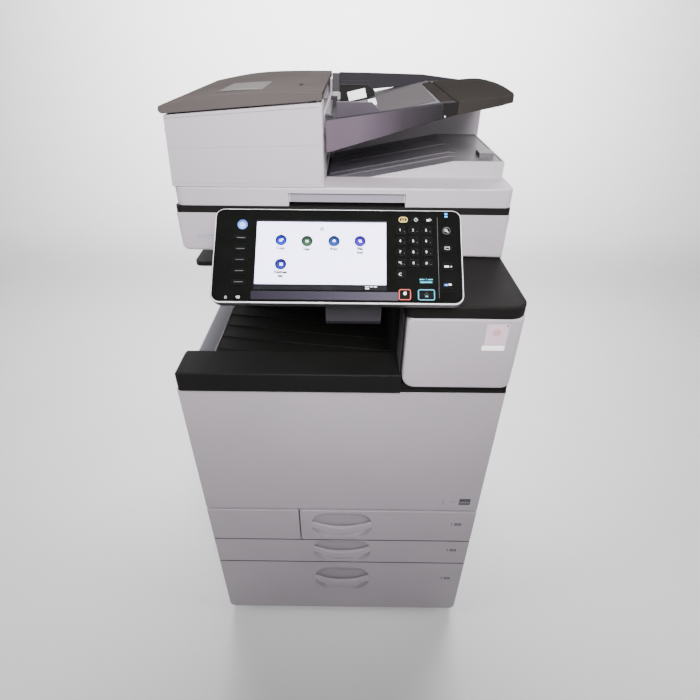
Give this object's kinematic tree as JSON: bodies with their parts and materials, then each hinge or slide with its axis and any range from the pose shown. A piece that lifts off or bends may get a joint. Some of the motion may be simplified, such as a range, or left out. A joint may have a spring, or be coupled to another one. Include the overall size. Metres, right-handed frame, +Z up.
{
  "type": "photocopier",
  "caption": "Floor-standing colour photocopier with document feeder, tilting touch panel, in-body output tray, paper drawers, front cover and side door with bypass tray",
  "frame": {"origin": "on the floor, under the centre of the bounding box", "axes": "+Z up, -Y towards the user, +X to the user's right"},
  "size_m": [0.587, 0.685, 1.207],
  "materials": {
    "cover_white": "fine moulded texture",
    "cover_black": "fine moulded texture",
    "tray_grey": "fine moulded texture",
    "exit_grey": "satin moulded",
    "panel_black": "glossy",
    "key_dark": "satin keys",
    "frame_steel": "zinc plated sheet",
    "drawer_grey": "satin",
    "engine_dark": "satin",
    "toner_plastic": "semi gloss",
    "roller_rubber": "ground rubber",
    "glass": "polished",
    "screen": "lit display",
    "feet_black": "moulded",
    "power_blue": "backlit key"
  },
  "bodies": {
    "cabinet": {"base_frame": "frame_steel", "levelling_feet": "feet_black", "left_cover": "cover_white", "right_cover": "cover_white", "rear_cover": "cover_white", "lower_left_cover": "cover_white", "inner_cover": "cover_black", "toner_bottles": "toner_plastic", "print_engine": "engine_dark", "fuser_unit": "engine_dark", "output_tray": "cover_black", "upper_exit_tray": "cover_black", "tower_cover": "cover_white", "tower_top_cover": "cover_black", "scanner_housing": "cover_white", "scanner_top_frame": "cover_black", "platen_glass": "glass", "panel_arm": "cover_black"},
    "front_door": {"front_cover": "cover_white"},
    "side_door": {"right_door": "cover_white"},
    "bypass": {"bypass_tray": "tray_grey"},
    "drawer_1": {"tray_1_front": "cover_white", "tray_1_box": "drawer_grey"},
    "drawer_2": {"tray_2_front": "cover_white", "tray_2_box": "drawer_grey"},
    "drawer_3": {"tray_3_front": "cover_white", "tray_3_box": "drawer_grey"},
    "lift_1": {"tray_1_lift_plate": "frame_steel"},
    "lift_2": {"tray_2_lift_plate": "frame_steel"},
    "lift_3": {"tray_3_lift_plate": "frame_steel"},
    "carriage": {"scan_carriage": "engine_dark"},
    "exit_roll": {"exit_roller": "roller_rubber"},
    "feeder": {"adf_base": "cover_white", "adf_housing": "cover_white", "adf_exit_tray": "exit_grey"},
    "feeder_cover": {"adf_top_cover": "cover_black"},
    "feed_roll": {"feed_roller": "roller_rubber"},
    "document_tray": {"adf_input_tray": "tray_grey"},
    "front_fence": {"adf_front_fence": "tray_grey"},
    "rear_fence": {"adf_rear_fence": "tray_grey"},
    "extension": {"adf_extension": "cover_black"},
    "panel": {"panel_shell": "cover_black", "panel_face": "panel_black", "display": "screen", "function_keys": "key_dark"},
    "power": {"power_key": "power_blue"},
    "start": {"start_key": "key_dark"},
    "stop": {"stop_key": "key_dark"},
    "key_1": {"number_key_1": "key_dark"},
    "key_2": {"number_key_2": "key_dark"},
    "key_3": {"number_key_3": "key_dark"},
    "key_4": {"number_key_4": "key_dark"},
    "key_5": {"number_key_5": "key_dark"},
    "key_6": {"number_key_6": "key_dark"},
    "key_7": {"number_key_7": "key_dark"},
    "key_8": {"number_key_8": "key_dark"},
    "key_9": {"number_key_9": "key_dark"},
    "key_star": {"number_key_star": "key_dark"},
    "key_0": {"number_key_0": "key_dark"},
    "key_hash": {"number_key_hash": "key_dark"}
  },
  "joints": [
    {"name": "front_cover_open", "type": "hinge", "parent": "cabinet", "child": "front_door", "pos_m": [0, -0.2928, 0.433], "axis": [1, 0, 0], "range_deg": [0, 80]},
    {"name": "right_door_open", "type": "hinge", "parent": "cabinet", "child": "side_door", "pos_m": [0.285, 0.2495, 0.547], "axis": [0, 0, 1], "range_deg": [0, 90]},
    {"name": "bypass_open", "type": "hinge", "parent": "side_door", "child": "bypass", "pos_m": [0.2875, 0, 0.4475], "axis": [0, 1, 0], "range_deg": [0, 75]},
    {"name": "drawer_1_pull", "type": "slide", "parent": "cabinet", "child": "drawer_1", "axis": [0, -1, 0], "range_m": [0, 0.4]},
    {"name": "drawer_2_pull", "type": "slide", "parent": "cabinet", "child": "drawer_2", "axis": [0, -1, 0], "range_m": [0, 0.4]},
    {"name": "drawer_3_pull", "type": "slide", "parent": "cabinet", "child": "drawer_3", "axis": [0, -1, 0], "range_m": [0, 0.42]},
    {"name": "lift_1_raise", "type": "hinge", "parent": "drawer_1", "child": "lift_1", "pos_m": [-0.062, 0, 0.338], "axis": [0, -1, 0], "range_deg": [0, 8]},
    {"name": "lift_2_raise", "type": "hinge", "parent": "drawer_2", "child": "lift_2", "pos_m": [-0.06, 0, 0.248], "axis": [0, -1, 0], "range_deg": [0, 7]},
    {"name": "lift_3_raise", "type": "slide", "parent": "drawer_3", "child": "lift_3", "axis": [0, 0, 1], "range_m": [0, 0.13]},
    {"name": "carriage_scan", "type": "slide", "parent": "cabinet", "child": "carriage", "axis": [1, 0, 0], "range_m": [0, 0.42]},
    {"name": "exit_roller_spin", "type": "hinge", "parent": "cabinet", "child": "exit_roll", "pos_m": [0.112, 0, 0.859], "axis": [0, 1, 0], "continuous": true},
    {"name": "feeder_lift", "type": "hinge", "parent": "cabinet", "child": "feeder", "pos_m": [0, 0.2712, 1.04], "axis": [-1, 0, 0], "range_deg": [0, 65]},
    {"name": "feeder_cover_open", "type": "hinge", "parent": "feeder", "child": "feeder_cover", "pos_m": [-0.283, 0, 1.1815], "axis": [0, -1, 0], "range_deg": [0, 70]},
    {"name": "feed_roller_spin", "type": "hinge", "parent": "feeder", "child": "feed_roll", "pos_m": [-0.055, 0, 1.176], "axis": [0, 1, 0], "continuous": true},
    {"name": "document_tray_lift", "type": "hinge", "parent": "feeder", "child": "document_tray", "pos_m": [-0.024, 0, 1.163], "axis": [0, -1, 0], "range_deg": [0, 20]},
    {"name": "front_fence_slide", "type": "slide", "parent": "document_tray", "child": "front_fence", "axis": [0, 1, 0], "range_m": [0, 0.09]},
    {"name": "rear_fence_slide", "type": "slide", "parent": "document_tray", "child": "rear_fence", "axis": [0, 1, 0], "range_m": [-0.09, 0]},
    {"name": "extension_fold", "type": "hinge", "parent": "document_tray", "child": "extension", "pos_m": [0.1775, 0, 1.1895], "axis": [0, -1, 0], "range_deg": [0, 90]},
    {"name": "panel_tilt", "type": "hinge", "parent": "cabinet", "child": "panel", "pos_m": [0, -0.27596, 0.98075], "axis": [-1, 0, 0], "range_deg": [-10, 25]},
    {"name": "power_press", "type": "slide", "parent": "panel", "child": "power", "axis": [0, 0.6947, -0.7193], "range_m": [0, 0.0008], "stiffness_N_per_m": 900, "springref_m": -0.0006},
    {"name": "start_press", "type": "slide", "parent": "panel", "child": "start", "axis": [0, 0.6947, -0.7193], "range_m": [0, 0.0008], "stiffness_N_per_m": 900, "springref_m": -0.0006},
    {"name": "stop_press", "type": "slide", "parent": "panel", "child": "stop", "axis": [0, 0.6947, -0.7193], "range_m": [0, 0.0008], "stiffness_N_per_m": 900, "springref_m": -0.0006},
    {"name": "key_1_press", "type": "slide", "parent": "panel", "child": "key_1", "axis": [0, 0.6947, -0.7193], "range_m": [0, 0.0008], "stiffness_N_per_m": 900, "springref_m": -0.0006},
    {"name": "key_2_press", "type": "slide", "parent": "panel", "child": "key_2", "axis": [0, 0.6947, -0.7193], "range_m": [0, 0.0008], "stiffness_N_per_m": 900, "springref_m": -0.0006},
    {"name": "key_3_press", "type": "slide", "parent": "panel", "child": "key_3", "axis": [0, 0.6947, -0.7193], "range_m": [0, 0.0008], "stiffness_N_per_m": 900, "springref_m": -0.0006},
    {"name": "key_4_press", "type": "slide", "parent": "panel", "child": "key_4", "axis": [0, 0.6947, -0.7193], "range_m": [0, 0.0008], "stiffness_N_per_m": 900, "springref_m": -0.0006},
    {"name": "key_5_press", "type": "slide", "parent": "panel", "child": "key_5", "axis": [0, 0.6947, -0.7193], "range_m": [0, 0.0008], "stiffness_N_per_m": 900, "springref_m": -0.0006},
    {"name": "key_6_press", "type": "slide", "parent": "panel", "child": "key_6", "axis": [0, 0.6947, -0.7193], "range_m": [0, 0.0008], "stiffness_N_per_m": 900, "springref_m": -0.0006},
    {"name": "key_7_press", "type": "slide", "parent": "panel", "child": "key_7", "axis": [0, 0.6947, -0.7193], "range_m": [0, 0.0008], "stiffness_N_per_m": 900, "springref_m": -0.0006},
    {"name": "key_8_press", "type": "slide", "parent": "panel", "child": "key_8", "axis": [0, 0.6947, -0.7193], "range_m": [0, 0.0008], "stiffness_N_per_m": 900, "springref_m": -0.0006},
    {"name": "key_9_press", "type": "slide", "parent": "panel", "child": "key_9", "axis": [0, 0.6947, -0.7193], "range_m": [0, 0.0008], "stiffness_N_per_m": 900, "springref_m": -0.0006},
    {"name": "key_star_press", "type": "slide", "parent": "panel", "child": "key_star", "axis": [0, 0.6947, -0.7193], "range_m": [0, 0.0008], "stiffness_N_per_m": 900, "springref_m": -0.0006},
    {"name": "key_0_press", "type": "slide", "parent": "panel", "child": "key_0", "axis": [0, 0.6947, -0.7193], "range_m": [0, 0.0008], "stiffness_N_per_m": 900, "springref_m": -0.0006},
    {"name": "key_hash_press", "type": "slide", "parent": "panel", "child": "key_hash", "axis": [0, 0.6947, -0.7193], "range_m": [0, 0.0008], "stiffness_N_per_m": 900, "springref_m": -0.0006}
  ],
  "couplings": [
    {"joint": "rear_fence_slide", "follows": "front_fence_slide", "ratio": -1}
  ]
}
